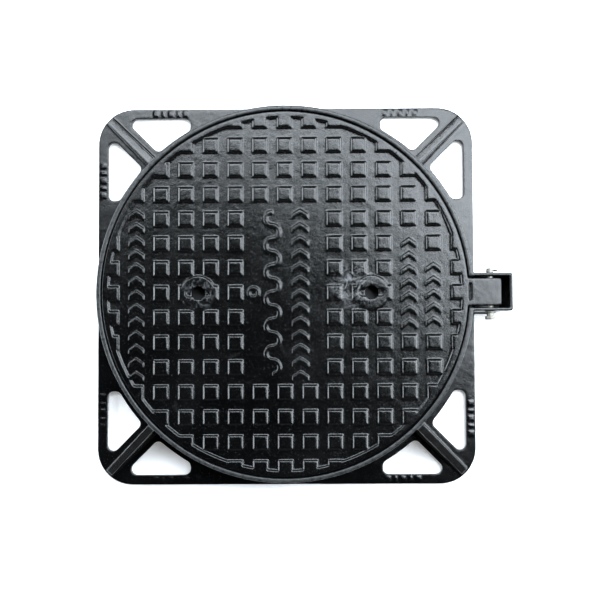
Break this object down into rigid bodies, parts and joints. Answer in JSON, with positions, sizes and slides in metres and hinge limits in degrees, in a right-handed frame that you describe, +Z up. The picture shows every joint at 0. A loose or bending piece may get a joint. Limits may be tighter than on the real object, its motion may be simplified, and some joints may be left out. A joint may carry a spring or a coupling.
{
  "type": "hinged manhole cover",
  "caption": "Round hinged cast-iron manhole cover with square studs, in a square-flanged frame with corner gussets and a hinge box.",
  "frame": {"origin": "centre of the clear opening, in the plane of the frame's underside", "axes": "+Z up through the opening, +X from the opening's centre to the hinge, Y along the hinge pin"},
  "size_m": [0.754, 0.7, 0.1],
  "materials": {
    "frame_casting": "glossy black bitumen paint over a sand-cast skin",
    "cover_casting": "glossy black bitumen paint over a sand-cast skin",
    "elastomer": "matt",
    "zinc_steel": "zinc plated",
    "black_plastic": "matt moulded"
  },
  "bodies": {
    "frame_assembly": {"frame": "frame_casting", "seat_gasket": "elastomer", "hinge_pin": "zinc_steel", "pin_washer": "zinc_steel", "split_pin": "zinc_steel"},
    "cover_assembly": {"cover": "cover_casting", "keyway_cup_left": "black_plastic", "keyway_cup_right": "black_plastic"}
  },
  "joints": [
    {"name": "cover_hinge", "type": "hinge", "parent": "frame_assembly", "child": "cover_assembly", "pos_m": [0.365, 0, 0.088], "axis": [0, 1, 0], "range_deg": [0, 110]}
  ]
}
